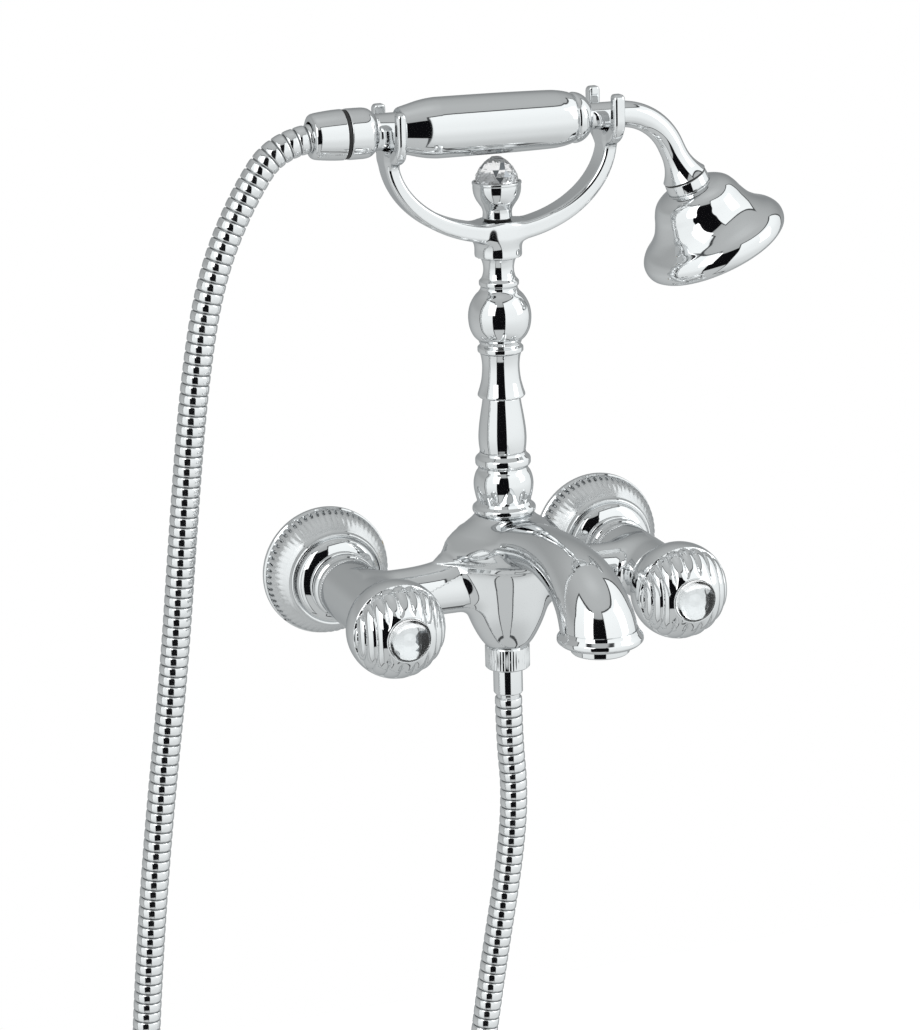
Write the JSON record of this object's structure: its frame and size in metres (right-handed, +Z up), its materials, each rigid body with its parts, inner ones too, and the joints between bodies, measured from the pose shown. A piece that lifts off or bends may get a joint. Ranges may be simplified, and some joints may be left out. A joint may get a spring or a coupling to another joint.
{
  "type": "bath mixer",
  "caption": "Wall-held two-knob bath mixer with a spout, a turned column, a cradle and a hand shower on a ribbed metal hose.",
  "frame": {"origin": "on the wall plane, midway between the two water inlets", "axes": "+X to the right along the wall, seen from the room; +Y into the wall; +Z up"},
  "size_m": [0.3623, 0.2251, 0.8153],
  "materials": {
    "chrome": "polished chrome plate on brass",
    "hose_metal": "polished ribbed metal hose",
    "crystal": "clear faceted crystal",
    "black_rubber": "black rubber",
    "brass": "bare turned brass",
    "ceramic": "ground white ceramic",
    "grey_plastic": "moulded grey plastic",
    "steel": "stainless steel"
  },
  "bodies": {
    "mixer": {"aerator_housing": "chrome", "aerator_insert": "grey_plastic", "aerator_seal": "black_rubber", "body_casting": "chrome", "column_ball": "chrome", "column_base": "chrome", "column_spool": "chrome", "column_tube": "brass", "column_vase": "chrome", "cradle": "chrome", "diverter_gland": "brass", "hose": "hose_metal", "hose_ferrule": "chrome", "hose_nut": "chrome", "hose_washer": "black_rubber", "left_headwork": "brass", "left_rosette": "chrome", "left_union_nut": "chrome", "left_union_seal": "black_rubber", "left_valve_seal": "black_rubber", "left_wall_union": "brass", "right_headwork": "brass", "right_rosette": "chrome", "right_union_nut": "chrome", "right_union_seal": "black_rubber", "right_valve_seal": "black_rubber", "right_wall_union": "brass"},
    "left_handle": {"left_spindle": "brass", "left_valve_disc": "ceramic", "left_knob": "chrome", "left_bezel": "chrome", "left_crystal": "crystal", "left_knob_screw": "steel"},
    "right_handle": {"right_spindle": "brass", "right_valve_disc": "ceramic", "right_knob": "chrome", "right_bezel": "chrome", "right_crystal": "crystal", "right_knob_screw": "steel"},
    "diverter": {"diverter_knob": "chrome", "diverter_crystal": "crystal", "diverter_rod": "brass", "diverter_plug": "brass", "diverter_seal": "black_rubber"},
    "handset": {"hose_cone_nut": "chrome", "cone_nut_ring": "black_rubber", "hose_end_washer": "black_rubber", "handset_connector": "chrome", "handset_grip": "chrome", "grip_end_cap": "chrome", "handset_tube": "brass", "swan_neck": "chrome", "head_collar": "chrome", "spray_head": "chrome", "spray_plate": "chrome", "spray_seal": "black_rubber"}
  },
  "joints": [
    {"name": "left_handle_turn", "type": "hinge", "parent": "mixer", "child": "left_handle", "pos_m": [-0.075, -0.1, 0], "axis": [0, -1, 0], "range_deg": [0, 90]},
    {"name": "right_handle_turn", "type": "hinge", "parent": "mixer", "child": "right_handle", "pos_m": [0.075, -0.1, 0], "axis": [0, -1, 0], "range_deg": [-90, 0]},
    {"name": "diverter_turn", "type": "hinge", "parent": "mixer", "child": "diverter", "pos_m": [0, -0.0647, 0.19], "axis": [0, 0, 1], "range_deg": [0, 90]},
    {"name": "handset_lift", "type": "slide", "parent": "mixer", "child": "handset", "axis": [0, 0, 1], "range_m": [0, 0.06], "deforming": ["hose"]}
  ]
}
